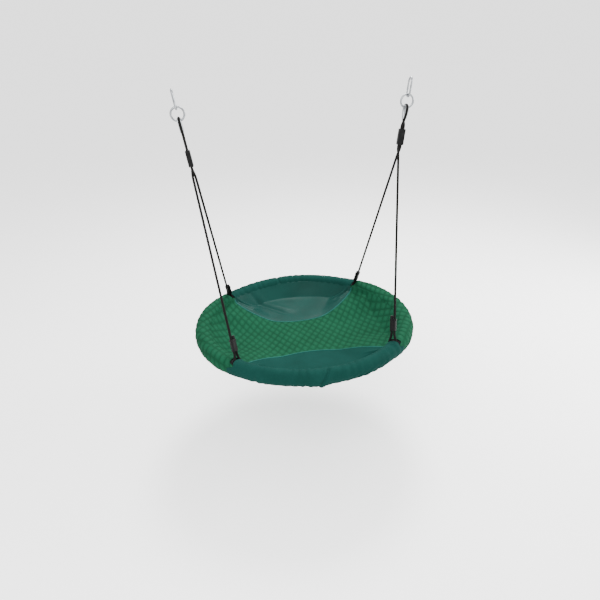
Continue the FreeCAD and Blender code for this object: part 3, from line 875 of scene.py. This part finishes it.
def rope_look():
    look = Look("rope", roughness=0.75, specular=0.06)
    weave = look.split(look.layer("cloth"))[2]
    wear = look.noise(look.place(), 40.0, 4.0)
    fibre = look.noise(look.place(), 900.0, 2.0)
    # Painted shade: darker in the grooves between the braid's strands and lighter on their crowns.
    braid_painted_shade = look.ramp(weave, (0.2, (0.0008, 0.0008, 0.0008)), (0.9, (0.0045, 0.0042, 0.0042)))
    look.colour(look.mix(look.math("MULTIPLY", wear, 0.3), braid_painted_shade, (0.0075, 0.0065, 0.006)))
    look.roughness(wear, 0.65, 0.85)
    look.bumps((fibre, 0.5, 0.0003))
    return look.material


def plastic_look():
    look = Look("black_plastic", roughness=0.45, specular=0.10)
    grain = look.noise(look.place(), 700.0, 2.0)
    scuff = look.noise(look.place(), 60.0, 5.0)
    look.colour(look.ramp(scuff, (0.45, (0.0018, 0.0018, 0.002)), (0.72, (0.006, 0.006, 0.006))))
    look.roughness(scuff, 0.32, 0.6)
    look.bumps((grain, 0.3, 0.0002), (scuff, 0.2, 0.0004))
    return look.material


def steel_look(name, light, dark, low, high):
    """Zinc coated steel in two tones, its roughness between low and high."""
    look = Look(name, metallic=1.0)
    cloud = look.noise(look.place(), 45.0, 5.0)
    spangle = look.noise(look.place(), 380.0, 2.0)
    clouds = look.ramp(cloud, (0.35, dark), (0.65, light))
    spangles = look.ramp(spangle, (0.4, dark), (0.6, light))
    look.colour(look.mix(0.3, clouds, spangles))
    look.roughness(cloud, low, high)
    look.bumps((spangle, 0.15, 0.0002), (cloud, 0.1, 0.0005))
    return look.material


def foam_look():
    look = Look("foam", roughness=0.9, specular=0.2)
    cells = look.node("ShaderNodeTexVoronoi")
    cells.inputs["Scale"].default_value = 420.0
    look.link(look.place(), cells.inputs["Vector"])
    tone = look.noise(look.place(), 30.0)
    look.colour(look.ramp(tone, (0.3, (0.018, 0.018, 0.020)), (0.7, (0.040, 0.040, 0.043))))
    look.bumps((cells.outputs["Distance"], 0.5, 0.0006))
    return look.material


ZINC = ((0.30, 0.31, 0.32), (0.17, 0.18, 0.19))
GALVANISED = ((0.30, 0.31, 0.31), (0.18, 0.18, 0.19))
looks = {
    "rope": rope_look(),
    "black_plastic": plastic_look(),
    "zinc_steel": steel_look("zinc_steel", *ZINC, 0.28, 0.42),
    "galvanised_tube": steel_look("galvanised_tube", *GALVANISED, 0.38, 0.55),
    "foam": foam_look(),
    "green_quilt": green,
    "teal_cloth": teal,
    "piping": piping,
    "hook_and_loop": strip,
}

# ---- the seat's cloth, and each piece's material -----------------------------------------------
centre_panel()
for end in ENDS:
    end_panel(end)
rim_cover("left_rim_cover", 180, True, side_wrinkle, side_rise)
rim_cover("right_rim_cover", 0, True, side_wrinkle, side_rise)
rim_cover("front_rim_cover", 270, False, front_wrinkle, front_rise)
rim_cover("back_rim_cover", 90, False, back_wrinkle, back_rise)
closure_strips()
slots = {part["node"]: part["material_slot"] for part in frame["record"]["subparts"]}
for node, obj in shown.items():
    # The back panel shows a soft light patch, so it has a shinier finish than the other teal cloth.
    obj.data.materials.append(satin if node == "back_panel" else looks[slots[node]])
for name, obj in frame["nodes"].items():
    obj.data.materials.clear()
    obj.data.materials.append(looks[slots[name]])

# ---- floor -------------------------------------------------------------------------------------
FLOOR_DROP = 0.55               # of the floor below the ring's centre
FLOOR_REACH = 40
FLOOR_GLOW = 0.22               # so that its far end doesn't show against the background
floor_look = Look("floor", roughness=0.8, specular=0.2)
floor_tone = floor_look.noise(floor_look.place(), 2.0)
floor_look.colour(floor_look.ramp(floor_tone, (0.0, (0.89, 0.89, 0.89)), (1.0, (0.91, 0.91, 0.91))))
floor_look.shader.inputs["Emission Color"].default_value = (1, 1, 1, 1)
floor_look.shader.inputs["Emission Strength"].default_value = FLOOR_GLOW
corners = [
    (x * FLOOR_REACH, y * FLOOR_REACH, seat_z - FLOOR_DROP)
    for x, y in ((-1, -1), (1, -1), (1, 1), (-1, 1))
]
floor = mesh_object("floor", corners, [(0, 1, 2, 3)])
floor.data.materials.append(floor_look.material)
